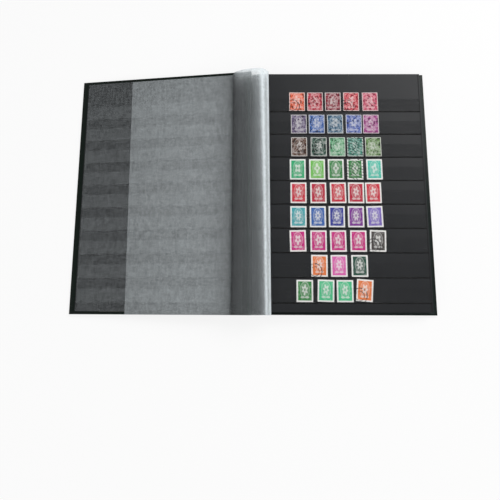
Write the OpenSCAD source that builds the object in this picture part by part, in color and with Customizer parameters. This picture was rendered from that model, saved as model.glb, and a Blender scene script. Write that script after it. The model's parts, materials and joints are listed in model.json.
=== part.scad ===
// Stamp album (stock book), lying open at its first spread.
// A case of two boards and a spine in imitation leather holds seven black card leaves.
// Every page has nine clear strip pockets, and glassine sheets lie between the leaves.
// All sizes are in millimetres. +X runs across the open album, +Y to its head, +Z up.
// The pieces are drawn closed about the spine plane, and those that rest on the left
// are then turned about the cover's fold.

/* [Case] */
// Width of one cover, from the spine plane to its fore edge
cover_width = 219; // [190:1:240]
// Height of the covers
cover_height = 305; // [302:1:340]
// Thickness of the grey board
board_thickness = 2.2; // [1.6:0.1:3]
// Thickness of the imitation leather
leather_thickness = 0.5; // [0.3:0.1:0.7]
// Where the joint groove ends and the boards begin
groove_end = 7.5; // [5:0.5:10]

/* [Pages] */
// Height of the pages
page_height = 298; // [280:1:299]
// Distance from the spine plane to the pages' fore edge
page_reach = 212; // [180:1:214]
// Distance from the spine plane to the inner edge of the cards
card_start = 8; // [6:0.5:12]
// Thickness of the black card
card_thickness = 0.4; // [0.35:0.05:0.6]
// How much further apart the leaves lie at their hinges than at their fore edge
gutter_rise = 1.2; // [1:0.1:1.6]

/* [Pockets] */
// Distance from one strip to the next
strip_pitch = 29.6; // [28.5:0.1:29.8]
// Height of the clear film of a strip
film_height = 17.9; // [12:0.1:20]
// Thickness of the clear film
film_thickness = 0.1; // [0.08:0.01:0.15]
// Room between the card and the film, where the stamps go
pocket_gap = 0.13; // [0.12:0.01:0.2]
// Width of the weld that closes a pocket at the bottom
weld_width = 1.4; // [0.6:0.1:2]

/* [Stamps] */
// Thickness of a stamp
stamp_thickness = 0.08; // [0.06:0.01:0.09]
// Height of the stamps in rows 1 to 3
small_stamp_height = 24.8; // [22:0.1:27]
// Height of the stamps in rows 4 to 9
large_stamp_height = 26.2; // [24:0.1:27]
// Width of the stamps
stamp_width = 19.8; // [16:0.1:20.2]

/* [Interleaves] */
// Thickness of one glassine sheet
glassine_thickness = 0.08; // [0.06:0.01:0.1]
// Height of the glassine sheets
glassine_height = 297; // [270:1:298]
// How far short of the pages' fore edge the flat sheets end
glassine_inset = 1; // [0.5:0.5:20]
// Where the free edge of the bulging upper sheet lies, left of the fold
upper_sheet_reach = 152; // [120:1:190]
// How far the upper sheet hangs out below the others
upper_sheet_hang = 3.8; // [0:0.1:3.8]

/* [Hidden] */
$fn = 64;

// the leaf block, a wedge that is thickest at the hinges
leaves = 7;
strips = 9;
glassine_reach = page_reach - glassine_inset;
pocket_height = pocket_gap + film_thickness;
leaf_thickness = card_thickness + 2 * pocket_height;
pair_thickness = 2 * glassine_thickness + 0.02;
room_for_pair = pair_thickness + 0.06;
leaf_pitch = leaf_thickness + room_for_pair;
board_bottom = leather_thickness;
board_top = board_bottom + board_thickness;
back_page_top = board_top + card_thickness + pocket_height;

// where the underside of leaf k lies at its hinge, counted from the top, and how far the leaf tilts
function leaf_z(k) =
  back_page_top + room_for_pair + (leaves - k) * leaf_pitch + (leaves + 1 - k) * gutter_rise;
function leaf_tilt(k) = asin((leaves + 1 - k) * gutter_rise / (page_reach - card_start));
block_top = leaf_z(1) + leaf_thickness;

// the fold that everything turns about
fold_x = -3;
fold_z = block_top + (card_start - fold_x) * tan(leaf_tilt(1)) + 0.25;
fold_radius = 0.6;

// the front cover, drawn closed and level
front_film_bottom = fold_z + 0.19;
front_card_bottom = front_film_bottom + pocket_height;
front_board_bottom = front_card_bottom + card_thickness;
front_board_top = front_board_bottom + board_thickness;
closed_thickness = front_board_top + leather_thickness;

// the open cover rests with its outer edge on the table
cover_reach = cover_width - fold_x;
cover_depth = closed_thickness - fold_z;
slope = asin(fold_z / sqrt(cover_reach * cover_reach + cover_depth * cover_depth))
  - atan(cover_depth / cover_reach);

// the row's origin is the middle of the box, on the table
lip = 0.3;
left_end = fold_x - cover_reach * cos(slope) + (front_board_bottom - lip - fold_z) * sin(slope);
middle_x = (left_end + cover_width) / 2;

// the pockets on a page
first_strip_y = 99.1;
strip_start = 10;
strip_end = page_reach - 2;

// where each stamp of each row starts, from the spine plane
stamp_places = [
  [47.4, 70.0, 92.4, 115.1, 138.7],
  [49.3, 71.3, 94.4, 117.5, 138.5],
  [49.1, 73.4, 96.0, 118.1, 140.2],
  [47.0, 70.6, 93.7, 117.2, 140.5],
  [47.4, 71.5, 95.3, 117.1, 138.0],
  [47.1, 70.5, 93.2, 116.2, 138.5],
  [46.0, 70.4, 94.0, 118.1, 141.3],
  [71.0, 94.1, 118.3],
  [53.1, 77.8, 100.3, 123.2]
];

back_color = [0.12, 0.22, 0.17];
card_color = [0.12, 0.13, 0.13];
film_color = [0.8, 0.85, 0.9, 0.35];
glassine_color = [0.85, 0.87, 0.88, 0.6];
board_color = [0.55, 0.52, 0.46];
linen_color = [0.1, 0.1, 0.1];

// puts the spine plane where the row's origin needs it
module placed() {
  translate([-middle_x, 0, 0]) children();
}

// turns what is drawn closed to where it rests on the left
module opened() {
  placed()
    translate([fold_x, 0, fold_z])
      rotate([0, -180 - slope, 0])
        translate([-fold_x, 0, -fold_z])
          children();
}

// a flat sheet between two distances from the spine plane, centred on the album's height
module sheet(x0, x1, height, z0, thickness) {
  translate([x0, -height / 2, z0]) cube([x1 - x0, height, thickness]);
}

// one clear strip, welded along its bottom edge and open at the top, on a face at z = 0
module film_strip() {
  translate([strip_start, 0, 0])
    rotate([90, 0, 90])
      linear_extrude(strip_end - strip_start)
        polygon([
          [-weld_width, 0], [0, 0], [0, pocket_gap], [film_height - weld_width, pocket_gap],
          [film_height - weld_width, pocket_height], [-weld_width, pocket_height]
        ]);
}

// the nine strips of a page that faces up, its card's face at z = 0
module strips_up() {
  for (i = [0 : strips - 1])
    translate([0, first_strip_y - i * strip_pitch, 0]) film_strip();
}

// the nine strips of a page that faces down
module strips_down() {
  for (i = [0 : strips - 1])
    translate([0, first_strip_y - i * strip_pitch, 0]) mirror([0, 0, 1]) film_strip();
}

// two glassine sheets, one over the other, from z0 up
module sheet_pair(z0) {
  sheet(1, glassine_reach, glassine_height, z0 + 0.02, glassine_thickness);
  sheet(1, glassine_reach, glassine_height, z0 + 0.04 + glassine_thickness, glassine_thickness);
}

// tilts what belongs to leaf k, whose fore edge lies lower than its hinge
module on_leaf(k) {
  placed()
    translate([card_start, 0, leaf_z(k)])
      rotate([0, leaf_tilt(k), 0])
        translate([-card_start, 0, -leaf_z(k)])
          children();
}

// imitation leather round one board, drawn as the back cover: outer face at z = 0,
// turned in over the board's edges, and dipping into the groove at the joint
module cover_leather() {
  half = cover_height / 2;
  inner = board_top + lip;
  difference() {
    union() {
      translate([groove_end - leather_thickness, -half, 0])
        cube([cover_width - groove_end + leather_thickness, cover_height, inner]);
      translate([0, -half, board_top - leather_thickness - 0.1])
        cube([groove_end, cover_height, leather_thickness + 0.1]);
    }
    // room for the board
    translate([groove_end, -half + leather_thickness, leather_thickness])
      cube([cover_width - groove_end - leather_thickness,
        cover_height - 2 * leather_thickness, board_thickness]);
    // room for the pasted page, inside the turned-in edges
    translate([groove_end - 2, -page_height / 2 - 0.2, board_top])
      cube([page_reach - groove_end + 2.2, page_height + 0.4, 2]);
  }
}

// the grey board of one cover, drawn as the back one
module cover_board() {
  translate([groove_end, -cover_height / 2 + leather_thickness, board_bottom])
    cube([cover_width - groove_end - leather_thickness,
      cover_height - 2 * leather_thickness, board_thickness]);
}

// draws the back cover's pieces as the closed front cover's
module as_front() {
  translate([0, 0, closed_thickness]) mirror([0, 0, 1]) children();
}

module back_board() {
  color(board_color) placed() cover_board();
}

module back_cover_leather() {
  color(back_color) placed() cover_leather();
}

module back_page_card() {
  color(card_color) placed()
    sheet(card_start, page_reach, page_height, board_top, card_thickness);
}

module back_page_pockets() {
  color(film_color) placed()
    translate([0, 0, board_top + card_thickness]) strips_up();
}

module back_interleaves() {
  color(glassine_color) placed() sheet_pair(back_page_top);
}

module spine_board() {
  color(board_color) placed()
    translate([-2, -cover_height / 2 + leather_thickness, board_top + 0.3])
      cube([1.6, cover_height - 2 * leather_thickness, front_board_bottom - 0.5 - board_top - 0.3]);
}

// the strip of leather over the spine, with the rounded fold that the cover turns about
module spine_leather() {
  half = cover_height / 2;
  color(back_color) placed() {
    translate([-2.6, -half, board_top - leather_thickness - 0.1])
      cube([0.6, cover_height, fold_z - board_top + 0.5]);
    translate([-2.6, -half, board_top - leather_thickness - 0.1])
      cube([2.6, cover_height, leather_thickness + 0.1]);
    translate([fold_x, -half, fold_z])
      rotate([-90, 0, 0]) cylinder(h = cover_height, r = fold_radius);
  }
}

module spine_lining() {
  color(linen_color) placed()
    translate([-0.4, -page_height / 2 + 6, board_top + 1])
      cube([0.5, page_height - 12, block_top - board_top - 1.5]);
}

module front_board() {
  color(board_color) opened() as_front() cover_board();
}

module front_cover_leather() {
  color(back_color) opened() as_front() {
    cover_leather();
    // the cloth runs on over the joint, to above the fold
    translate([fold_x, -cover_height / 2, board_top - leather_thickness - 0.1])
      cube([-fold_x, cover_height, leather_thickness + 0.1]);
  }
}

module front_page_card() {
  color(card_color) opened()
    sheet(card_start, page_reach, page_height, front_card_bottom, card_thickness);
}

module front_page_pockets() {
  color(film_color) opened()
    translate([0, 0, front_card_bottom]) strips_down();
}

// one point of a smooth curve with two guide points
function bend(a, b, c, d, t) =
  a * pow(1 - t, 3) + b * 3 * t * pow(1 - t, 2) + c * 3 * t * t * (1 - t) + d * pow(t, 3);

// the bulging sheet's line at rest, from its root in the gutter to its free edge,
// with heights counted from the level at which it lies on the fold
sheet_z = fold_z + 0.08;
crease = [-23.5, (fold_x + 23.5) * -tan(slope) + 0.4];
bulge = [
  for (t = [0 : 0.1 : 0.95]) bend([1, 0.1], [12, 0.2], [22.8, -1], [22.8, 2.4], t),
  for (t = [0 : 0.1 : 0.95]) bend([22.8, 2.4], [22.8, 7], [17, 12.4], [11, 12.4], t),
  for (t = [0 : 0.1 : 0.95]) bend([11, 12.4], [2, 12.4], [-8, 11.1], [-16.2, 7.4], t),
  for (t = [0 : 0.2 : 0.95]) bend([-16.2, 7.4], [-20, 5.9], [-23, 4], crease, t)
];
free_edge = [
  fold_x - upper_sheet_reach * cos(slope),
  -upper_sheet_reach * sin(slope) + 0.05
];
sheet_line = [
  for (p = concat(bulge, [crease, [-36, (fold_x + 36) * -tan(slope) + 0.12], free_edge]))
    p + [0, sheet_z]
];

// the direction across the line at each of its points
function across(p, i) =
  let (a = p[max(i - 1, 0)], b = p[min(i + 1, len(p) - 1)], d = (b - a) / norm(b - a))
    [-d[1], d[0]];

module upper_interleaf() {
  n = len(sheet_line);
  half = glassine_thickness / 2;
  one_side = [for (i = [0 : n - 1]) sheet_line[i] + half * across(sheet_line, i)];
  other_side = [for (i = [n - 1 : -1 : 0]) sheet_line[i] - half * across(sheet_line, i)];
  hang = min(upper_sheet_hang, (cover_height - glassine_height) / 2 - 0.2);
  color(glassine_color) placed()
    translate([0, glassine_height / 2, 0])
      rotate([90, 0, 0])
        linear_extrude(glassine_height + hang) polygon(concat(one_side, other_side));
}

module lower_interleaf() {
  color(glassine_color) opened()
    sheet(4, glassine_reach, glassine_height, fold_z + 0.05, glassine_thickness);
}

module leaf_card(k) {
  color(card_color) on_leaf(k)
    sheet(card_start, page_reach, page_height, leaf_z(k) + pocket_height, card_thickness);
}

module leaf_pockets(k) {
  color(film_color) on_leaf(k) {
    translate([0, 0, leaf_z(k) + pocket_height + card_thickness]) strips_up();
    translate([0, 0, leaf_z(k) + pocket_height]) strips_down();
  }
}

// the linen hinge grips the card's inner edge on both faces
module leaf_linen_hinge(k) {
  color(linen_color) on_leaf(k)
    difference() {
      sheet(1, 9.8, page_height - 2, leaf_z(k) + pocket_height - 0.12, card_thickness + 0.24);
      sheet(card_start, 12, page_height, leaf_z(k) + pocket_height, card_thickness);
      sheet(0, 6.5, page_height, leaf_z(k) - 1, 1 + pocket_height);
      sheet(0, 6.5, page_height, leaf_z(k) + pocket_height + 0.25, 1);
    }
}

module leaf_interleaves(k) {
  color(glassine_color) on_leaf(k) sheet_pair(leaf_z(k) + leaf_thickness);
}

// one row of stamps, standing on its strip's weld between the card and the film
module stamps_row(k, shade) {
  height = k < 4 ? small_stamp_height : large_stamp_height;
  z = leaf_z(1) + pocket_height + card_thickness + (pocket_gap - stamp_thickness) / 2;
  color(shade) on_leaf(1)
    for (x = stamp_places[k - 1])
      translate([x, first_strip_y - (k - 1) * strip_pitch + 0.2, z])
        cube([stamp_width, height, stamp_thickness]);
}

back_board();
back_cover_leather();
back_page_card();
back_page_pockets();
back_interleaves();
spine_board();
spine_leather();
spine_lining();
front_board();
front_cover_leather();
front_page_card();
front_page_pockets();
upper_interleaf();
lower_interleaf();
leaf_card(1);  // leaf_1_card
leaf_pockets(1);  // leaf_1_pockets
leaf_linen_hinge(1);  // leaf_1_linen_hinge
leaf_card(2);  // leaf_2_card
leaf_pockets(2);  // leaf_2_pockets
leaf_linen_hinge(2);  // leaf_2_linen_hinge
leaf_interleaves(2);  // leaf_2_interleaves
leaf_card(3);  // leaf_3_card
leaf_pockets(3);  // leaf_3_pockets
leaf_linen_hinge(3);  // leaf_3_linen_hinge
leaf_interleaves(3);  // leaf_3_interleaves
leaf_card(4);  // leaf_4_card
leaf_pockets(4);  // leaf_4_pockets
leaf_linen_hinge(4);  // leaf_4_linen_hinge
leaf_interleaves(4);  // leaf_4_interleaves
leaf_card(5);  // leaf_5_card
leaf_pockets(5);  // leaf_5_pockets
leaf_linen_hinge(5);  // leaf_5_linen_hinge
leaf_interleaves(5);  // leaf_5_interleaves
leaf_card(6);  // leaf_6_card
leaf_pockets(6);  // leaf_6_pockets
leaf_linen_hinge(6);  // leaf_6_linen_hinge
leaf_interleaves(6);  // leaf_6_interleaves
leaf_card(7);  // leaf_7_card
leaf_pockets(7);  // leaf_7_pockets
leaf_linen_hinge(7);  // leaf_7_linen_hinge
leaf_interleaves(7);  // leaf_7_interleaves
stamps_row(1, [0.75, 0.35, 0.25]);  // stamps_row_1
stamps_row(2, [0.25, 0.4, 0.65]);  // stamps_row_2
stamps_row(3, [0.3, 0.45, 0.25]);  // stamps_row_3
stamps_row(4, [0.25, 0.6, 0.35]);  // stamps_row_4
stamps_row(5, [0.75, 0.2, 0.2]);  // stamps_row_5
stamps_row(6, [0.3, 0.45, 0.75]);  // stamps_row_6
stamps_row(7, [0.75, 0.25, 0.5]);  // stamps_row_7
stamps_row(8, [0.8, 0.5, 0.35]);  // stamps_row_8
stamps_row(9, [0.45, 0.65, 0.4]);  // stamps_row_9
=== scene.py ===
# Stamp album, lying open at its first spread: finish, sheets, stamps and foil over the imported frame.
import json
import math
import random

import bpy
from mathutils import Matrix, Vector


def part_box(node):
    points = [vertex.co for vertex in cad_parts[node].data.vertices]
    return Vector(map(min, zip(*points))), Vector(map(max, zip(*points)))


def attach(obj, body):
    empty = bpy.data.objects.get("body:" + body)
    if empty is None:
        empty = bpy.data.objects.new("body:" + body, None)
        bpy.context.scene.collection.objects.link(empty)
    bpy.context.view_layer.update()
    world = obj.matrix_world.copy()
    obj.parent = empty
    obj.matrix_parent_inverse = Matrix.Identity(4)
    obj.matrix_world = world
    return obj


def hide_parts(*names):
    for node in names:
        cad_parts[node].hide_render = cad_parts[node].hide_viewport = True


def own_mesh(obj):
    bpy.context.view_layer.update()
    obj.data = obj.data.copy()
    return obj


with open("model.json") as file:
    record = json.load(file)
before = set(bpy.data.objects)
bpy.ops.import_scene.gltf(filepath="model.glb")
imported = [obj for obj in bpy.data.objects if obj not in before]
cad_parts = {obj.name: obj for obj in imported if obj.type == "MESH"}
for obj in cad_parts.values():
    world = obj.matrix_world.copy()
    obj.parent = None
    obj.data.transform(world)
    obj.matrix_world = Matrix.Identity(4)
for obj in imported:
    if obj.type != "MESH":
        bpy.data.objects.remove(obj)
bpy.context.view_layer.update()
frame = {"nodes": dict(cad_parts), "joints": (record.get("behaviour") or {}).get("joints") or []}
NODES = frame["nodes"]
MM = 0.001


# ---------------------------------------------------------------- the album's own measures

# in millimetres: the width of a cover, and where a page's card starts and ends from the spine plane
COVER_WIDTH, CARD_START, PAGE_REACH = 219, 8, 212
# the leaves, how much more each takes up at the gutter than at the fore edge, and a sheet of glassine
LEAVES, GUTTER_RISE, PAPER = 7, 1.2, 0.08

BACK_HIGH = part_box("back_cover_leather")[1]
HALF_HEIGHT = BACK_HIGH.y
SPINE_X = BACK_HIGH.x - COVER_WIDTH * MM
FOLD = next(joint for joint in frame["joints"] if joint["name"] == "front_cover_hinge")
FOLD_X, FOLD_Z = FOLD["pos_m"][0], FOLD["pos_m"][2]

# the open front cover: from the fold to its fore edge, and from the fold's level to its outer face
COVER_REACH, COVER_DEPTH = 222 * MM, 3.52 * MM
CLOSED_Z = FOLD_Z + COVER_DEPTH
SLOPE = math.asin(FOLD_Z / math.hypot(COVER_REACH, COVER_DEPTH)) - math.atan2(COVER_DEPTH, COVER_REACH)

# the top leaf tilts down from its hinge to its fore edge
LEAF_TILT = math.asin(LEAVES * GUTTER_RISE / (PAGE_REACH - CARD_START))
LEAF_HINGE = (SPINE_X + CARD_START * MM, 18.57 * MM)

# the strips of a page, in millimetres: up the page from a weld, and across it from the fold
STRIP_PITCH, FIRST_WELD, FILM_FOOT, FILM_TOP = 29.6, 98.4, 0.7, 17.2
STRIPS_START, STRIPS_END, DARK_LINE = 13, 212.6, 213.0
# the pebbles of the leather, which also show through the foil: how many to a metre
PEBBLES = 1150


def from_spine(x_mm):
    """A distance from the spine plane, in millimetres, as a row coordinate."""
    return SPINE_X + x_mm * MM


def turned(x, z, angle):
    """A turn about a line that runs along the album's height."""
    there = Matrix.Translation((x, 0, z))
    return there @ Matrix.Rotation(angle, 4, "Y") @ there.inverted()


OPENED = turned(FOLD_X, FOLD_Z, -math.pi - SLOPE)
TILTED = turned(*LEAF_HINGE, LEAF_TILT)


# ---------------------------------------------------------------- materials

class Number:
    """A socket in a finish. Python's operators on it add Math nodes."""

    def __init__(self, finish, socket):
        self.finish, self.socket = finish, socket

    def math(self, operation, *values):
        return self.finish.add("ShaderNodeMath", {"operation": operation}, dict(enumerate(values))).out()

    def __add__(self, other):
        return self.math("ADD", self, other)

    def __sub__(self, other):
        return self.math("SUBTRACT", self, other)

    def __rsub__(self, other):
        return self.math("SUBTRACT", other, self)

    def __mul__(self, other):
        return self.math("MULTIPLY", self, other)

    def __truediv__(self, other):
        return self.math("DIVIDE", self, other)

    def __gt__(self, other):
        return self.math("GREATER_THAN", self, other)

    def __lt__(self, other):
        return self.math("LESS_THAN", self, other)

    __radd__ = __add__

    def abs(self):
        return self.math("ABSOLUTE", self)

    def sin(self):
        return self.math("SINE", self)

    def fract(self):
        return self.math("FRACT", self)

    def root(self):
        return self.math("SQRT", self)

    def turn_from(self, other):
        return self.math("ARCTAN2", self, other)

    def either(self, other):
        return self.math("MAXIMUM", self, other)

    def ramp(self, low, high, start=0.0, end=1.0):
        """Runs smoothly from start to end as the number goes from low to high."""
        settings = {"interpolation_type": "SMOOTHSTEP"}
        values = {0: self, 1: low, 2: high, 3: start, 4: end}
        return self.finish.add("ShaderNodeMapRange", settings, values).out()


class Step:
    """A node of a finish."""

    def __init__(self, finish, node):
        self.finish, self.node = finish, node

    def out(self, name=0):
        return Number(self.finish, self.node.outputs[name])


class Finish:
    """A material under construction, with its Principled shader."""

    def __init__(self, name, color=(0.5, 0.5, 0.5), roughness=0.5, **plain):
        self.material = bpy.data.materials.new(name)
        self.material.use_nodes = True
        self.tree = self.material.node_tree
        self.tree.nodes.clear()
        self.output = self.add("ShaderNodeOutputMaterial", {}, {})
        self.shader = self.add("ShaderNodeBsdfPrincipled", {}, {})
        self.set("Base Color", (*color, 1))
        self.set("Roughness", roughness)
        for socket, value in plain.items():
            self.set(socket.replace("_", " "), value)
        self.surface(self.shader)

    def add(self, kind, settings, values):
        """Adds a node, sets it up, and puts values or links on its sockets."""
        node = self.tree.nodes.new(kind)
        for key, value in settings.items():
            setattr(node, key, value)
        for key, value in values.items():
            self.put(node.inputs[key], value)
        return Step(self, node)

    def put(self, socket, value):
        if isinstance(value, Number):
            self.tree.links.new(value.socket, socket)
        else:
            socket.default_value = value

    def set(self, name, value):
        self.put(self.shader.node.inputs[name], value)

    def surface(self, step):
        self.tree.links.new(step.node.outputs[0], self.output.node.inputs[0])

    def place(self):
        """The place on the object, in millimetres: x, y and z."""
        here = self.add("ShaderNodeTexCoord", {}, {}).out("Object")
        axes = self.add("ShaderNodeSeparateXYZ", {}, {0: here})
        return [axes.out(i) * 1000 for i in range(3)]

    def stretched(self, x, y, z):
        """The place on the object, in metres, scaled along each axis."""
        here = self.add("ShaderNodeTexCoord", {}, {}).out("Object")
        return self.add("ShaderNodeMapping", {}, {0: here, "Scale": (x, y, z)}).out()

    def noise(self, scale, detail=3.0, roughness=0.55, at=None):
        at = at or self.stretched(1, 1, 1)
        values = {"Vector": at, "Scale": scale, "Detail": detail, "Roughness": roughness}
        return self.add("ShaderNodeTexNoise", {}, values).out()

    def cells(self, scale):
        values = {"Vector": self.stretched(1, 1, 1), "Scale": scale}
        return self.add("ShaderNodeTexVoronoi", {}, values).out()

    def blend(self, share, first, second):
        """Mixes two colours."""
        first = first if isinstance(first, Number) else (*first, 1)
        second = second if isinstance(second, Number) else (*second, 1)
        return self.add("ShaderNodeMix", {"data_type": "RGBA"}, {0: share, 6: first, 7: second}).out(2)

    def relief(self, height, distance, strength):
        values = {"Height": height, "Distance": distance, "Strength": strength}
        self.set("Normal", self.add("ShaderNodeBump", {}, values).out())

    def own(self, name, channel="Fac"):
        """A value that the mesh carries."""
        return self.add("ShaderNodeAttribute", {"attribute_name": name}, {}).out(channel)


def strip_zones(finish, soft=0.3):
    """Where a page's clear strips are: 1 under the film, with edges of the given softness.

    With it come the distance up from the weld below and the distance from the fold, in millimetres."""
    x, y, _ = finish.place()
    # whole strips are added, so that the fraction is taken of a positive number
    above = ((y - FIRST_WELD + STRIP_PITCH * 20) / STRIP_PITCH).fract() * STRIP_PITCH
    film = above.ramp(FILM_FOOT - soft, FILM_FOOT + soft) * (1 - above.ramp(FILM_TOP - soft, FILM_TOP + soft))
    from_fold = (x - FOLD_X / MM).abs()
    page = (y < FIRST_WELD + FILM_TOP + 2) * (from_fold > STRIPS_START) * (from_fold < STRIPS_END)
    return film * page, above, from_fold


def green_leather():
    """Imitation leather: fine pebbled grain, a little mottled, worn slightly paler on its high spots.

    Where it is turned in under the page its colour is painted darker, as shade; along the fore edge, by the
    share the mesh carries, it is painted greyer, as sheen."""
    finish = Finish("green_leather", roughness=0.46, Specular_IOR_Level=0.08)
    pebbles = finish.cells(PEBBLES)
    mottle = finish.noise(34, 4)
    broad = finish.noise(7, 2)
    dark = finish.blend(mottle.ramp(0.3, 0.7), (0.0075, 0.03, 0.017), (0.012, 0.041, 0.0245))
    worn = finish.blend(pebbles.ramp(0.2, 0.62) * 0.4, dark, (0.002, 0.009, 0.005))
    cloth = finish.blend(broad.ramp(0.35, 0.7) * 0.3, worn, (0.014, 0.04, 0.027))
    # painted shade: the turned-in leather is made darker for the shade it lies in
    darkened = finish.blend(finish.own("turned_in") * 0.9, cloth, (0.001, 0.003, 0.002))
    # painted sheen: the fore-edge rim is made greyer for the light glancing off it
    finish.set("Base Color", finish.blend(finish.own("rubbed") * 0.9, darkened, (0.026, 0.035, 0.034)))
    finish.set("Roughness", 0.36 + mottle * 0.2 - finish.own("turned_in") * 0.2)
    finish.relief(finish.noise(420, 3) * 0.35 - pebbles * 0.8, 0.00022, 0.7)
    return finish.material


def black_card():
    """Matte black card with the faint tooth of pressed fibre, without its sheen under the film.

    A fine line, darker and duller, runs where the strips end, beside the fore edge."""
    finish = Finish("black_card", roughness=0.5, Specular_IOR_Level=0.15)
    tooth = finish.noise(1500, 2)
    clouds = finish.noise(22, 3)
    film, _, from_fold = strip_zones(finish)
    # a fine dark, dull line beside the fore edge
    darkened = (from_fold - DARK_LINE).abs() < 0.6
    bare = finish.blend(clouds.ramp(0.3, 0.7), (0.0105, 0.0115, 0.0132), (0.0138, 0.0148, 0.0166))
    # painted shade: under the film the card is made a little darker, for the sheen it loses there
    card = finish.blend(film * 0.3, bare, (0.0105, 0.0115, 0.0125))
    finish.set("Base Color", finish.blend(darkened * 0.75, card, (0.001, 0.001, 0.001)))
    finish.set("Roughness", 0.39 + tooth * 0.1 + film * 0.13 + darkened * 0.2)
    finish.relief(tooth, 0.00006, 0.5)
    return finish.material


def clear_film():
    """Clear strips: almost unseen over the card, dark along the weld, with a faint painted highlight along
    the top edge.
    """
    finish = Finish("clear_film", roughness=0.2, Specular_IOR_Level=0.3)
    _, above, _ = strip_zones(finish)
    half_weld = 0.75
    weld = (above < half_weld).either(above > STRIP_PITCH - half_weld)
    # painted highlight: the film's top edge is made a little paler, for the light it catches
    lip_highlight = (above > FILM_TOP - 0.35) * (above < FILM_TOP + 0.3)
    streaks = finish.noise(90, 3, at=finish.stretched(0.06, 4, 1))
    finish.set("Base Color", finish.blend(weld, (0.03, 0.031, 0.032), (0.002, 0.002, 0.002)))
    finish.set("Alpha", 0.01 + streaks.ramp(0.35, 0.8) * 0.03 + lip_highlight * 0.05 + weld * 0.72)
    finish.set("Roughness", 0.14 + streaks * 0.2 + weld * 0.6)
    return finish.material


def glassine():
    """Glassine: a thin translucent paper, painted lighter and darker in bands for the light and shade on the
    relief of the strips it rests on.

    Each sheet carries how much it veils what lies under it, how light it is painted, with its light and
    shade, and where it rests."""
    finish = Finish("glassine", roughness=0.5, Specular_IOR_Level=0.2)
    fibre = finish.noise(480, 2, 0.5, finish.stretched(1.0, 0.2, 1.0))
    cross = finish.noise(480, 2, 0.5, finish.stretched(0.18, 1.0, 1.0))
    clouds = finish.noise(38, 4)
    grain = finish.noise(520, 2)
    weave = fibre.ramp(0.36, 0.64) * 0.13 + cross.ramp(0.36, 0.64) * 0.1 + grain.ramp(0.36, 0.64) * 0.13
    film, _, _ = strip_zones(finish, 1.6)
    # painted light and shade: lighter bands where the sheet lies over the strips, darker between them
    painted_relief_shading = (film - 0.6) * finish.own("resting") * 0.2
    light = finish.own("tone") * (0.95 + (weave - 0.18) * (1 + finish.own("resting")) + clouds * 0.1 + painted_relief_shading)
    finish.set("Base Color", finish.blend(light, (0.0, 0.0, 0.0), (0.9, 0.97, 1.0)))
    finish.set("Alpha", finish.own("veil"))
    finish.relief(clouds * 0.7 + fibre * 0.3, 0.0004, 0.3)
    return finish.material


def plain_glassine():
    """The same paper where it lies flat between the leaves."""
    finish = Finish("glassine_in_the_block", roughness=0.5, Specular_IOR_Level=0.3)
    fibre = finish.noise(260, 4, 0.65, finish.stretched(1.0, 0.16, 1.0))
    finish.set("Alpha", 0.28 + fibre * 0.1)
    finish.set("Base Color", finish.blend(fibre, (0.3, 0.32, 0.33), (0.45, 0.47, 0.48)))
    return finish.material


def grey_board():
    """Grey board, with the flecks of recycled paper."""
    finish = Finish("grey_board", roughness=0.85)
    chips = finish.noise(700, 4, 0.7)
    finish.set("Base Color", finish.blend(chips.ramp(0.35, 0.65), (0.2, 0.18, 0.15), (0.3, 0.28, 0.24)))
    finish.relief(chips, 0.0001, 0.5)
    return finish.material


def linen():
    """Black bookbinder's linen, woven at about a thread every half millimetre."""
    finish = Finish("linen", roughness=0.8, Specular_IOR_Level=0.2)
    x, y, _ = finish.place()
    thread = 12.5
    warp = (x * thread).sin() * 0.5 + 0.5
    weft = (y * thread).sin() * 0.5 + 0.5
    weave = (warp * weft).either((1 - warp) * (1 - weft))
    finish.set("Base Color", finish.blend(weave, (0.006, 0.007, 0.008), (0.022, 0.024, 0.026)))
    finish.relief(weave, 0.00015, 0.6)
    return finish.material


def gold_foil():
    """Stamped foil: warm gold, with the leather's grain showing through and small gaps."""
    finish = Finish("gold_foil", (0.78, 0.55, 0.2), 0.3, Metallic=1.0)
    grain = finish.cells(PEBBLES)
    wear = finish.noise(240, 3)
    finish.set("Base Color", finish.blend(wear.ramp(0.35, 0.7), (0.58, 0.39, 0.12), (0.84, 0.62, 0.25)))
    finish.set("Roughness", 0.24 + wear * 0.2)
    finish.relief(0 - grain, 0.00012, 0.5)
    return finish.material


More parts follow.
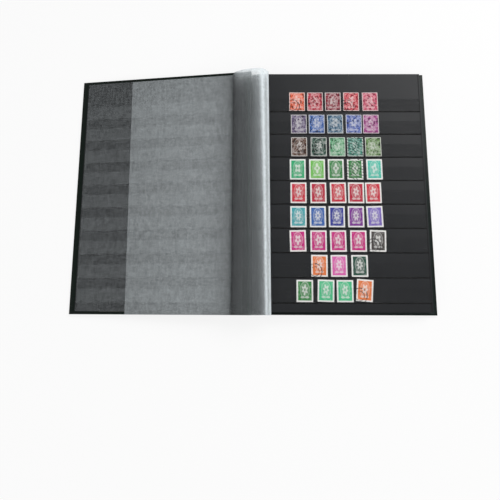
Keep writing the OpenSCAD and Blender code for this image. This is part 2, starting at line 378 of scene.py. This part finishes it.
def stamp_print():
    """Stamp paper with a bare margin and a printed field: engraved shading, an oval and a flower.

    Each stamp carries its ink, its margin, the number of its flower's petals, how richly it is engraved,
    its postmark and a seed for its shading."""
    finish = Finish("stamp_print", roughness=0.62, Specular_IOR_Level=0.2)
    where = finish.add("ShaderNodeUVMap", {"uv_map": "face"}, {}).out()
    axes = finish.add("ShaderNodeSeparateXYZ", {}, {0: where})
    u, v = axes.out(0) - 0.5, axes.out(1) - 0.5
    margin, rich, seed = finish.own("margin"), finish.own("engraved"), finish.own("seed")
    wide, tall = u / (1 - margin * 2), v / (1 - margin * 1.5)
    side = wide.abs().either(tall.abs())
    field = side < 0.5
    moved = {0: where, 1: finish.own("seed", "Vector")}
    shift = finish.add("ShaderNodeVectorMath", {"operation": "ADD"}, moved).out()
    shade = finish.noise(6.2, 3, 0.65, shift)
    # the flower: petals round an eye, inside a pale oval line, with a leaf on either side
    up = tall - 0.06
    far = (wide * wide * 1.5 + up * up).root()
    turn = up.turn_from(wide)
    petals = far < 0.23 + (turn * finish.own("petals") + seed * 3).sin() * 0.07
    eye = (far < 0.08) * 0.75
    leaf_x = wide.abs() - 0.17
    leaf_y = tall + 0.33
    leaves = (leaf_x * leaf_x * 2.2 + leaf_y * leaf_y * 14) < 0.05
    oval = (far > 0.39) * (far < 0.43)
    rays = (turn * 30).sin() > 0.2
    medallion = far.ramp(0.3, 0.42, 1.0, 0.0)
    motif = (petals * (1 - eye)).either(leaves * 0.8).either(oval * 0.7)
    lines = (tall * 120 + wide * 40).sin() * 0.5 + 0.5
    engraving = shade.ramp(0.46, 0.6) * (0.4 + rays * 0.3 + lines * 0.3)
    plain_pale = motif.either(shade.ramp(0.5, 0.72) * 0.35).either(medallion * 0.22)
    rich_pale = (motif * shade.ramp(0.34, 0.54)).either(engraving * 0.75).either(oval * 0.4)
    rich_pale = rich_pale.either(medallion * shade.ramp(0.42, 0.54) * 0.5)
    pale = plain_pale * (1 - rich) + rich_pale * rich
    deep = shade.ramp(0.44, 0.4) * rich * (1 - medallion * 0.3) + (side > 0.45) * rich * 0.3
    ink = finish.own("ink", "Color")
    paper = finish.blend(finish.noise(300, 2), (0.8, 0.79, 0.77), (0.88, 0.87, 0.85))
    aged = finish.blend(rich * 0.28, paper, ink)
    deeper = finish.blend(deep.ramp(0, 1) * 0.85, ink, (0.012, 0.01, 0.012))
    printed = finish.blend(field * (1 - pale * (0.72 + rich * 0.08)), aged, deeper)
    # the postmark: a ring struck over one corner, and wavy lines
    ring_x, ring_y = u + 0.28, v + 0.26
    ring = (ring_x * ring_x + ring_y * ring_y * 1.5).root()
    struck = (ring > 0.4) * (ring < 0.46) + (ring > 0.24) * (ring < 0.28)
    wave = (v * 44 + u * 20 + (u * 9).sin() * 1.6).sin() > 0.55
    mark = finish.own("postmark")
    cancel = (mark > 0.5) * (mark < 1.5) * struck + (mark > 1.5) * wave
    worn_off = finish.noise(9, 2, 0.5, shift).ramp(0.36, 0.5)
    finish.set("Base Color", finish.blend(cancel * worn_off * 0.85, printed, (0.02, 0.02, 0.022)))
    finish.relief(finish.noise(900, 2), 0.00003, 0.4)
    return finish.material


LEATHER, CARD, FILM = green_leather(), black_card(), clear_film()
GLASSINE, FLAT_GLASSINE, BOARD = glassine(), plain_glassine(), grey_board()
LINEN, FOIL, PRINT = linen(), gold_foil(), stamp_print()


def coat(piece, material):
    piece.data.materials.clear()
    piece.data.materials.append(material)


for name, node in NODES.items():
    if name.endswith("_leather"):
        coat(node, LEATHER)
    elif name.endswith("_board"):
        coat(node, LINEN if name.startswith("spine") else BOARD)
    elif name.endswith("_card"):
        coat(node, CARD)
    elif name.endswith("_pockets"):
        coat(node, FILM)
    elif "interlea" in name:  # one interleaf, or the interleaves of a leaf
        coat(node, FLAT_GLASSINE)
    elif name.endswith(("_hinge", "_lining")):
        coat(node, LINEN)


# ---------------------------------------------------------------- tools for modelling

def nothing_selected():
    if bpy.context.object and bpy.context.object.mode != "OBJECT":
        bpy.ops.object.mode_set(mode="OBJECT")
    bpy.ops.object.select_all(action="DESELECT")


def take(piece):
    nothing_selected()
    piece.select_set(True)
    bpy.context.view_layer.objects.active = piece


def name_it(name, material):
    piece = bpy.context.object
    piece.name = piece.data.name = name
    coat(piece, material)
    return piece


def settle(piece):
    """Puts the piece's place in its mesh."""
    take(piece)
    bpy.ops.object.transform_apply(location=True, rotation=True, scale=True)


def block(name, material, low, high):
    """A box between two corners, to be shaped further."""
    nothing_selected()
    low, high = Vector(low), Vector(high)
    bpy.ops.mesh.primitive_cube_add(size=1, location=(low + high) / 2)
    bpy.context.object.scale = high - low
    piece = name_it(name, material)
    settle(piece)
    return piece


def pick_all(piece):
    """Goes into edit mode with every face chosen."""
    take(piece)
    bpy.ops.object.mode_set(mode="EDIT")
    bpy.ops.mesh.select_mode(type="FACE")
    bpy.ops.mesh.select_all(action="SELECT")


def pick_faces(piece, wanted):
    """Goes into edit mode with the faces chosen whose middle and normal are wanted."""
    pick_all(piece)
    bpy.ops.mesh.select_all(action="DESELECT")
    done()
    for face in piece.data.polygons:
        face.select = bool(wanted(face.center, face.normal))
    bpy.ops.object.mode_set(mode="EDIT")


def done():
    """Leaves edit mode."""
    bpy.ops.object.mode_set(mode="OBJECT")


def rounded(piece, width, segments=3):
    """Softens the piece's edges."""
    take(piece)
    soft = piece.modifiers.new("soft edges", "BEVEL")
    soft.width, soft.segments = width, segments
    soft.limit_method, soft.angle_limit = "ANGLE", math.radians(35)
    bpy.ops.object.modifier_apply(modifier=soft.name)
    bpy.ops.object.shade_smooth_by_angle(angle=math.radians(40))


def outwards(piece):
    pick_all(piece)
    bpy.ops.mesh.normals_make_consistent(inside=False)
    done()


def thickened(piece, thickness, offset):
    """Gives a flat piece thickness: offset 1 to one side of it, 0 to both."""
    wall = piece.modifiers.new("thickness", "SOLIDIFY")
    wall.thickness, wall.offset = thickness, offset
    take(piece)
    bpy.ops.object.modifier_apply(modifier=wall.name)


def grid(name, material, across, up, middle, width, height):
    """A flat grid round a middle."""
    nothing_selected()
    bpy.ops.mesh.primitive_grid_add(x_subdivisions=across, y_subdivisions=up, size=1, location=middle)
    bpy.context.object.scale = (width, height, 1)
    piece = name_it(name, material)
    settle(piece)
    return piece


def notch_rim(piece, middle, width, height, across, up, depth):
    """Draws in every second point of a grid's rim, which makes its perforation."""
    for point in piece.data.vertices:
        x, y = point.co.x - middle.x, point.co.y - middle.y
        column, row = round((x / width + 0.5) * across), round((y / height + 0.5) * up)
        if row in (0, up) and column % 2 and 0 < column < across:
            point.co.y -= math.copysign(depth, y)
        if column in (0, across) and row % 2 and 0 < row < up:
            point.co.x -= math.copysign(depth, x)


def joined(pieces, name):
    nothing_selected()
    for piece in pieces:
        piece.select_set(True)
    bpy.context.view_layer.objects.active = pieces[0]
    bpy.ops.object.join()
    piece = bpy.context.object
    piece.name = piece.data.name = name
    return piece


def give(piece, key, numbers):
    """Writes a number on each of the piece's points, for its finish to read."""
    layer = piece.data.attributes.new(key, "FLOAT", "POINT")
    layer.data.foreach_set("value", numbers)


def carry(piece, body, slot, *nodes):
    """Makes the piece ride on a body, in place of nodes of the frame if any are named."""
    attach(piece, body)
    if nodes:
        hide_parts(*nodes)


# ---------------------------------------------------------------- the case

# the leather over the joint lies between these two heights
JOINT_LOW, JOINT_HIGH = 2.1 * MM, 2.7 * MM
# in millimetres from the spine plane: where the joint ends at a cover, and the spine's outer face
JOINT_END, SPINE_FACE = 7, -2.6


def cover_skin(name, joint, rubbed):
    """The leather of a cover, drawn as the back one: rounded over the board, turned in at three edges,
    and running on over the joint by the given width. Its turned-in fore edge takes the given share of painted
    sheen."""
    rim, turn_in, softness = 3.0 * MM, 3.3 * MM, 0.55 * MM
    low = (from_spine(JOINT_END), -HALF_HEIGHT, 0)
    high = (BACK_HIGH.x, HALF_HEIGHT, rim)
    skin = block(name, LEATHER, low, high)
    # the joint: the inner part of the spine-side wall is drawn out to the spine
    pick_faces(skin, lambda at, way: way.x < -0.9)
    bpy.ops.mesh.subdivide(number_cuts=9, quadcorner="INNERVERT")
    done()
    for point in skin.data.vertices:
        if abs(point.co.x - low[0]) < 1e-6 and 0.4 * MM < point.co.z < 2.8 * MM:
            level = round(point.co.z / rim * 10)
            joint_level = {9: JOINT_HIGH, 8: (JOINT_HIGH + JOINT_LOW) / 2, 7: JOINT_LOW}
            point.co.z = joint_level.get(level, JOINT_LOW * level / 7)
    pick_faces(skin, lambda at, way: way.x < -0.9 and JOINT_LOW < at.z < JOINT_HIGH)
    bpy.ops.mesh.extrude_region_move(TRANSFORM_OT_translate={"value": (-joint, 0, 0)})
    done()
    # the recess for the pasted page, inside the turned-in edges
    pick_faces(skin, lambda at, way: way.z > 0.9 and at.z > 2.95 * MM)
    bpy.ops.mesh.inset(thickness=turn_in, use_even_offset=True)
    bpy.ops.transform.translate(value=(0, 0, JOINT_HIGH - rim))
    done()
    # at the fore edge the turned-in leather shows up to the page
    for point in skin.data.vertices:
        if abs(point.co.z - JOINT_HIGH) < 1e-6 and point.co.x > from_spine(PAGE_REACH):
            point.co.x = from_spine(PAGE_REACH + 0.3)
    rounded(skin, softness)
    outwards(skin)
    inside = [point.co.z > 2.6 * MM for point in skin.data.vertices]
    fore_edge = [point.co.x > from_spine(PAGE_REACH) and abs(point.co.y) < 151 * MM
                 for point in skin.data.vertices]
    give(skin, "turned_in", [float(a) for a in inside])
    give(skin, "rubbed", [float(a and b) * rubbed for a, b in zip(inside, fore_edge)])
    return skin


# over the joint the back cover's leather runs to the spine plane, and the front cover's on to the fold
# the back cover's fore edge is painted with sheen, the front cover's is not
back_skin = cover_skin("back_cover_cloth", JOINT_END * MM, 1.0)
front_skin = cover_skin("front_cover_cloth", 10 * MM, 0.0)
upright = Matrix.Translation((0, 0, CLOSED_Z)) @ Matrix.Scale(-1, 4, (0, 0, 1))
front_skin.data.transform(OPENED @ upright)
outwards(front_skin)
carry(back_skin, "case_back", "cover_leather", "back_cover_leather")
carry(front_skin, "front_cover", "cover_leather", "front_cover_leather")


def spine_skin():
    """The leather over the spine, with the rounded fold that the front cover turns about."""
    soft = 0.2 * MM
    low = (from_spine(SPINE_FACE), -HALF_HEIGHT, JOINT_LOW)
    high = (from_spine(-2.0), HALF_HEIGHT, FOLD_Z - 0.1 * MM)
    wall = block("spine_wall", LEATHER, low, high)
    rounded(wall, soft, 2)
    foot = block("spine_foot", LEATHER,
                 (low[0] + 0.1 * MM, low[1], JOINT_LOW), (from_spine(0), high[1], JOINT_HIGH))
    rounded(foot, soft, 2)
    nothing_selected()
    bpy.ops.mesh.primitive_cylinder_add(
        vertices=32, radius=0.6 * MM, depth=2 * HALF_HEIGHT,
        location=(FOLD_X, 0, FOLD_Z), rotation=(math.pi / 2, 0, 0))
    fold = name_it("spine_fold", LEATHER)
    settle(fold)
    rounded(fold, soft, 2)
    # the leather is turned in at the head and the tail: over the spine board's ends, and down its inside
    turned_in = []
    for end in (-1, 1):
        for x0, x1, y0, y1 in ((-2.4, 0.1, 152.0, 152.5), (-0.4, 0.1, 142.8, 152.2)):
            edges = sorted((end * y0 * MM, end * y1 * MM))
            flap = block("spine_turn_in", LEATHER, (from_spine(x0), edges[0], 2.5 * MM),
                         (from_spine(x1), edges[1], FOLD_Z - 0.12 * MM))
            rounded(flap, 0.14 * MM, 2)
            turned_in.append(flap)
    return joined([wall, foot, fold, *turned_in], "spine_cloth")


carry(spine_skin(), "case_back", "cover_leather", "spine_leather")


# ---------------------------------------------------------------- gold foil

def foil_strip(name, low, high):
    strip = block(name, FOIL, low, high)
    rounded(strip, 0.02 * MM, 1)
    return strip


def cover_foil():
    """Two gold rules beside the joint, and a small perforated frame in the gap between their ends."""
    pieces = []
    # the rules: where they lie from the spine plane, how far they reach and the gap between their ends
    rules, half_rule, reach, gap = (51.0, 55.4), 0.8, 152.2, (-113.0, -67.5)
    foil_depth = 0.04 * MM
    skin = CLOSED_Z - 0.01 * MM
    for x in rules:
        for y0, y1 in ((-reach, gap[0]), (gap[1], reach)):
            pieces.append(foil_strip(
                "rule", (from_spine(x - half_rule), y0 * MM, skin),
                (from_spine(x + half_rule), y1 * MM, skin + foil_depth)))
    # the frame, made as a grid whose rim is notched and whose middle is taken out
    middle = Vector((from_spine(sum(rules) / 2), -90 * MM, skin))
    width, height, border, across, up = 22 * MM, 26 * MM, 2.4 * MM, 24, 28
    mark = grid("mark", FOIL, across, up, middle, width, height)
    notch_rim(mark, middle, width, height, across, up, 0.55 * MM)
    pick_faces(mark, lambda at, way: (abs(at.x - middle.x) < width / 2 - border
                                      and abs(at.y - middle.y) < height / 2 - border))
    bpy.ops.mesh.delete(type="FACE")
    done()
    thickened(mark, foil_depth, 1)
    pieces.append(mark)
    foil = joined(pieces, "cover_foil")
    foil.data.transform(OPENED)
    outwards(foil)
    return foil


def spine_foil():
    """Pairs of thin gold bands across the spine."""
    pieces = []
    face, half_band = from_spine(SPINE_FACE), 0.4 * MM
    highest, pair_pitch, half_pair = 138, 55.2, 1.7
    for i in range(6):
        for step in (-half_pair, half_pair):
            y = (highest - pair_pitch * i + step) * MM
            pieces.append(foil_strip(
                "band", (face - 0.04 * MM, y - half_band, 2.4 * MM),
                (face + 0.02 * MM, y + half_band, FOLD_Z - 0.4 * MM)))
    return joined(pieces, "spine_foil")


carry(cover_foil(), "front_cover", "cover_leather")
carry(spine_foil(), "case_back", "cover_leather")


# ---------------------------------------------------------------- stamps

INKS = {
    "vermilion": (0.75, 0.11, 0.04), "orange": (0.76, 0.2, 0.06), "carmine": (0.48, 0.02, 0.05),
    "crimson": (0.25, 0.008, 0.03), "scarlet": (0.58, 0.025, 0.05), "rose": (0.56, 0.05, 0.12),
    "magenta": (0.56, 0.025, 0.21), "pink": (0.7, 0.13, 0.42), "plum": (0.35, 0.045, 0.24),
    "purple": (0.2, 0.03, 0.28), "lavender": (0.2, 0.14, 0.48), "slate_violet": (0.12, 0.085, 0.18),
    "deep_blue": (0.04, 0.05, 0.3), "ultramarine": (0.05, 0.1, 0.4), "royal_blue": (0.035, 0.12, 0.4),
    "steel_blue": (0.04, 0.13, 0.22), "turquoise": (0.06, 0.36, 0.4), "aqua": (0.08, 0.52, 0.4),
    "mint": (0.07, 0.5, 0.24), "emerald": (0.03, 0.38, 0.16), "leaf_green": (0.17, 0.5, 0.1),
    "green": (0.04, 0.22, 0.06), "olive": (0.12, 0.24, 0.07), "sea_green": (0.02, 0.24, 0.17),
    "soft_green": (0.1, 0.36, 0.17), "dark_green": (0.015, 0.07, 0.045), "brown": (0.1, 0.04, 0.02),
    "black": (0.06, 0.052, 0.05),
}
# the stamps of each row, from the gutter out
ROWS = (
    ("vermilion", "carmine", "crimson", "scarlet", "rose"),
    ("slate_violet", "royal_blue", "steel_blue", "ultramarine", "plum"),
    ("brown", "dark_green", "soft_green", "sea_green", "olive"),
    ("emerald", "leaf_green", "green", "green", "aqua"),
    ("scarlet", "carmine", "scarlet", "carmine", "scarlet"),
    ("turquoise", "royal_blue", "deep_blue", "purple", "lavender"),
    ("magenta", "magenta", "magenta", "magenta", "black"),
    ("orange", "pink", "dark_green"),
    ("green", "mint", "mint", "orange"),
)
RING, WAVES = 1, 2
# by row and place in the row: the postmarks, and how many degrees a stamp leans
POSTMARKS = {
    (0, 0): RING, (0, 3): RING, (2, 3): WAVES, (3, 3): WAVES, (6, 4): RING, (7, 0): RING, (8, 3): RING,
}
LEANING = {(8, 3): -4.5, (8, 1): -2.0, (5, 4): 1.4, (6, 0): 1.2, (6, 4): -1.8}
# the flower's petals in each row
PETALS = (5, 6, 8, 4, 6, 8, 5, 7, 6)
ENGRAVED_ROWS = 3


def stamp(name, low, high, values, tilt):
    """One stamp: a grid with a notched rim, dissolved to a single face, with the thickness of paper."""
    width, height = high.x - low.x, high.y - low.y
    notches = 13
    across, up = 2 * notches, 2 * round(notches * height / width)
    middle = (low + high) / 2
    piece = grid(name, PRINT, across, up, (middle.x, middle.y, low.z), width, height)
    notch_rim(piece, middle, width, height, across, up, 0.42 * MM)
    pick_all(piece)
    bpy.ops.mesh.dissolve_limited(angle_limit=0.01)
    done()
    thickened(piece, high.z - low.z, 1)
    mesh = piece.data
    for layer in list(mesh.uv_layers):
        mesh.uv_layers.remove(layer)
    face = mesh.uv_layers.new(name="face")
    for loop in mesh.loops:
        at = mesh.vertices[loop.vertex_index].co
        face.data[loop.index].uv = ((at.x - low.x) / width, (at.y - low.y) / height)
    for key, value in values.items():
        if key == "ink":
            layer = mesh.attributes.new(key, "FLOAT_COLOR", "POINT")
            layer.data.foreach_set("color", [*value, 1.0] * len(mesh.vertices))
        else:
            give(piece, key, [float(value)] * len(mesh.vertices))
    # leaning in its pocket, on its lowest corner
    lean = Matrix.Translation(middle) @ Matrix.Rotation(tilt, 4, "Z") @ Matrix.Translation(-middle)
    lift = Matrix.Translation((0, abs(math.sin(tilt)) * width / 2, 0))
    mesh.transform(TILTED @ lift @ lean)
    return piece


def boxes_of(node):
    """The box of each separate stamp of a node, as it lies before the leaf is tilted."""
    back = TILTED.inverted()
    points = [back @ vertex.co for vertex in NODES[node].data.vertices]
    xs = sorted({round(point.x, 5) for point in points})
    low_y, high_y = min(point.y for point in points), max(point.y for point in points)
    low_z, high_z = min(point.z for point in points), max(point.z for point in points)
    return [(Vector((a, low_y, low_z)), Vector((b, high_y, high_z))) for a, b in zip(xs[0::2], xs[1::2])]


hand = random.Random(7)
for row, inks in enumerate(ROWS):
    node = f"stamps_row_{row + 1}"
    pieces = []
    for i, (low, high) in enumerate(boxes_of(node)):
        shift = Vector((hand.uniform(-0.2, 0.2) * MM, 0, 0))
        tilt = math.radians(LEANING.get((row, i), hand.uniform(-0.6, 0.6)))
        engraved = row < ENGRAVED_ROWS
        values = {
            "ink": INKS[inks[i]], "margin": 0.05 if engraved else 0.1, "petals": PETALS[row],
            "engraved": 1.0 if engraved else 0.12, "seed": hand.uniform(0, 9),
            "postmark": POSTMARKS.get((row, i), 0),
        }
        pieces.append(stamp(f"stamp_{row + 1}_{i + 1}", low + shift, high + shift, values, tilt))
    carry(joined(pieces, f"stamps_{row + 1}"), node, node + "_paper", node)


# ---------------------------------------------------------------- glassine over the open spread

# the upper sheet's line is sampled in columns: four curves over the gutter, then straight to its free edge
CURVE_COLUMNS, STRAIGHT_COLUMNS = 16, 40
ROWS_UP = 60
SHEET_LOW, SHEET_HIGH = -152.3 * MM, 148.5 * MM


def bend(a, b, c, d, t):
    """A point of a cubic curve."""
    s = 1 - t
    return a * s ** 3 + b * 3 * t * s ** 2 + c * 3 * t * t * s + d * t ** 3


def upper_line(side):
    """The upper sheet's line across the gutter, at the foot (side 0) or the head (side 1) of the album.

    Each point has a mark: 0 to 4 over the four curves, 4 to 5 from there to the free edge."""
    level = FOLD_Z / MM + 0.08
    drop = math.tan(SLOPE)

    def at(x, rise):
        return Vector((from_spine(x), (level + rise) * MM))

    # at the foot the arch stands further over the right page than at the head
    out = 0.9 - 1.8 * side
    fold_x = FOLD_X / MM - SPINE_X / MM
    crease = (-23.4 - out * 0.4, (fold_x + 23.4) * -drop + 0.4)
    wall, crest, flank = (22.8 + out, 2.4), (11 + out, 12.4 - out * 0.5), (-16.2, 7.4)
    curves = (
        ((1, 0.1), (12, 0.2), (wall[0], -1), wall),
        (wall, (wall[0], 7), (17 + out, crest[1]), crest),
        (crest, (2, crest[1]), (-8, 11.1), flank),
        (flank, (-20, 5.9), (-23, 4), crease),
    )
    line, marks = [], []
    for number, points in enumerate(curves):
        for i in range(CURVE_COLUMNS):
            share = i / CURVE_COLUMNS
            line.append(bend(*(at(*point) for point in points), share))
            marks.append(number + share)
    # the free edge runs slightly askew
    reach = (152 + (side - 0.5) * 3.5) * MM
    start = at(*crease)
    far = Vector((FOLD_X - reach * math.cos(SLOPE), level * MM - reach * math.sin(SLOPE) + 0.05 * MM))
    for i in range(STRAIGHT_COLUMNS + 1):
        share = i / STRAIGHT_COLUMNS
        line.append(start.lerp(far, share))
        marks.append(len(curves) + share)
    return line, marks


# along the upper sheet's line: the mark, how much the sheet veils there and how light it is painted, with
# painted light and shade: dark beside the crease, bright on the arch
SHEEN = (
    (0.0, 0.20, 0.20), (0.6, 0.25, 0.25), (1.0, 0.76, 0.80), (1.15, 0.82, 0.92), (1.3, 0.90, 1.00),
    (1.42, 0.78, 0.86), (1.56, 0.70, 0.76), (1.68, 0.78, 0.88), (1.8, 0.90, 1.00), (1.9, 0.86, 1.00),
    (1.98, 0.66, 0.86), (2.06, 0.54, 0.66), (2.14, 0.50, 0.54), (2.25, 0.48, 0.45),
    (2.4, 0.48, 0.30), (2.7, 0.55, 0.20), (3.0, 0.66, 0.13), (3.5, 0.70, 0.105), (3.94, 0.70, 0.11),
    (4.0, 0.50, 0.34), (4.1, 0.50, 0.45), (4.2, 0.50, 0.54), (4.4, 0.50, 0.575), (5.0, 0.50, 0.485),
)


def sheen_at(mark):
    """The veil, and the lightness with its painted light and shade, at a mark."""
    for (a, *low), (b, *high) in zip(SHEEN, SHEEN[1:]):
        if mark <= b:
            share = (mark - a) / (b - a)
            return [p + (q - p) * share for p, q in zip(low, high)]
    return SHEEN[-1][1:]


def as_paper(sheet, values):
    """Gives a sheet what its finish reads, and the thickness of glassine with two faces."""
    for key, numbers in values.items():
        give(sheet, key, numbers)
    thickened(sheet, PAPER * MM, 0)


def between(low, high, number):
    return min(max(number, low), high)


def one_face(veil):
    """The veil of each of a sheet's two faces, which together veil as much as the sheet does."""
    return 1 - math.sqrt(1 - veil)


def upper_sheet(name, first, last):
    """A part of the sheet that arches over the gutter, between two columns of its line."""
    foot, marks = upper_line(0)
    head, _ = upper_line(1)
    across = last - first
    sheet = grid(name, GLASSINE, across, ROWS_UP, (0, 0, 0), 1, 1)
    values = {"veil": [], "tone": [], "resting": []}
    for point in sheet.data.vertices:
        column = first + round((point.co.x + 0.5) * across)
        share = point.co.y + 0.5
        mark = marks[column]
        place = foot[column].lerp(head[column], share)
        raised = math.sin(between(0, 3, mark - 1) / 3 * math.pi)
        ripple = math.sin(share * 9.0 + column * 0.11) * 0.3 * MM * raised
        y = SHEET_LOW + (SHEET_HIGH - SHEET_LOW) * share
        point.co = (place.x + ripple * 0.4, y, place.y + ripple)
        # the painted highlight on the crest narrows towards the foot, where the raised paper is also painted
        # darker
        lean = between(0, 1, (mark - 1.3) * 2) * between(0, 1, (3 - mark) * 1.25)
        veil, tone = sheen_at(mark + lean * (0.06 + 0.28 * (1 - share)))
        tone *= 1 - 0.14 * (1 - share) * raised
        # painted light: near its head the raised paper is made lighter and more veiling, for the light from
        # beyond the page that comes through it
        glow = raised ** 1.5 * math.exp(-(SHEET_HIGH - y) / (8.5 * MM))
        tone += 0.85 * glow
        veil += (0.95 - veil) * 0.7 * glow
        values["veil"].append(one_face(veil))
        values["tone"].append(min(tone, 1.0))
        values["resting"].append(between(0, 1, (mark - 4.05) * 8) * 0.5)
    as_paper(sheet, values)
    bpy.ops.object.shade_smooth_by_angle(angle=math.radians(60))
    outwards(sheet)
    return sheet


def lower_sheet():
    """The sheet that lies flat on the left page."""
    sheet = grid("lower_glassine", GLASSINE, ROWS_UP, ROWS_UP, (0, 0, 0), 1, 1)
    start, width, height = 4, 207, 297
    for point in sheet.data.vertices:
        x = from_spine(start + width * (point.co.x + 0.5))
        point.co = OPENED @ Vector((x, point.co.y * height * MM, FOLD_Z + 0.09 * MM))
    count = len(sheet.data.vertices)
    # painted shade: the same paper is set much darker here than on the upper sheet
    as_paper(sheet, {"veil": [one_face(0.5)] * count, "tone": [0.19] * count, "resting": [1.7] * count})
    outwards(sheet)
    return sheet


# The sheet parts over the fold, half way along its third curve. The gutter half lies on the leaves, and rises
# with the second as the first is turned.
OVER_THE_FOLD = 2 * CURVE_COLUMNS + CURVE_COLUMNS // 2
FREE_EDGE = 4 * CURVE_COLUMNS + STRAIGHT_COLUMNS
for half, body, columns, lean_x, rise in (
    ("upper_glassine_gutter", "leaf_2", (0, OVER_THE_FOLD), math.sin(LEAF_TILT), -0.16),
    ("upper_glassine", "upper_interleaf", (OVER_THE_FOLD, FREE_EDGE), -math.sin(SLOPE), 0.13),
):
    sheet = upper_sheet(half, *columns)
    carry(sheet, body, "glassine", "upper_interleaf")
    FOLD_Z + rise * MM
    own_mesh(sheet)
carry(lower_sheet(), "lower_interleaf", "glassine", "lower_interleaf")


# ---------------------------------------------------------------- table, light and camera

def white_to_the_eye(tree, lit, share):
    """Mixes plain white into a shader for what the camera, gloss and glass see of it."""
    rays = tree.nodes.new("ShaderNodeLightPath")
    seen = tree.nodes.new("ShaderNodeEmission")
    seen.inputs["Strength"].default_value = 1.0
    any_of = rays.outputs["Is Camera Ray"]
    for name in ("Is Glossy Ray", "Is Transmission Ray"):
        either = tree.nodes.new("ShaderNodeMath")
        either.operation = "MAXIMUM"
        tree.links.new(any_of, either.inputs[0])
        tree.links.new(rays.outputs[name], either.inputs[1])
        any_of = either.outputs[0]
    part = tree.nodes.new("ShaderNodeMath")
    part.operation = "MULTIPLY"
    part.inputs[1].default_value = share
    tree.links.new(any_of, part.inputs[0])
    mixed = tree.nodes.new("ShaderNodeMixShader")
    tree.links.new(part.outputs[0], mixed.inputs[0])
    tree.links.new(lit, mixed.inputs[1])
    tree.links.new(seen.outputs[0], mixed.inputs[2])
    return mixed.outputs[0]


def table_top():
    """A wide white table that the album rests on."""
    nothing_selected()
    bpy.ops.mesh.primitive_plane_add(size=6, location=(0, 0, -0.0002))
    table = bpy.context.object
    table.name = "table_top"
    finish = Finish("white_table", (0.93, 0.93, 0.93), 0.9, Specular_IOR_Level=0.0)
    seen = white_to_the_eye(finish.tree, finish.shader.node.outputs[0], 0.82)
    finish.tree.links.new(seen, finish.output.node.inputs[0])
    coat(table, finish.material)


def lamp(name, size, power, place):
    """A square lamp that faces the album."""
    data = bpy.data.lights.new(name, "AREA")
    data.shape, data.size, data.energy = "SQUARE", size, power
    light = bpy.data.objects.new(name, data)
    bpy.context.scene.collection.objects.link(light)
    light.location = place
    light.rotation_euler = (-Vector(place)).to_track_quat("-Z", "Y").to_euler()


def daylight():
    """A soft even light, in front of a white background."""
    world = bpy.data.worlds.new("studio")
    bpy.context.scene.world = world
    world.use_nodes = True
    sky = world.node_tree.nodes["Background"]
    sky.inputs["Color"].default_value = (1, 1, 1, 1)
    sky.inputs["Strength"].default_value = 0.3
    seen = white_to_the_eye(world.node_tree, sky.outputs[0], 1.0)
    world.node_tree.links.new(seen, world.node_tree.nodes["World Output"].inputs[0])


def camera():
    """A hand-held view from above the foot of the album."""
    turn_x, turn_y, turn_z = (math.radians(a) for a in (-8.0937, -2.6447, -0.155))
    turn = Matrix.Rotation(turn_x, 3, "X") @ Matrix.Rotation(turn_y, 3, "Y") @ Matrix.Rotation(turn_z, 3, "Z")
    data = bpy.data.cameras.new("camera")
    data.sensor_width, data.lens = 36, 28.405
    data.clip_start, data.clip_end = 0.01, 20
    seen_from = turn.transposed() @ Vector((0.432, -72.589, 498.486)) * MM
    view = bpy.data.objects.new("camera", data)
    bpy.context.scene.collection.objects.link(view)
    view.matrix_world = Matrix.Translation(seen_from) @ turn.transposed().to_4x4()
    bpy.context.scene.camera = view


table_top()
daylight()
lamp("window", 1.1, 22.0, (0.98, 0.95, 1.25))
lamp("left_fill", 1.2, 10.0, (-1.2, -1.1, 1.2))
lamp("right_fill", 1.0, 7.0, (1.1, -1.2, 1.2))
camera()
bpy.context.scene.view_settings.view_transform = "Standard"
nothing_selected()
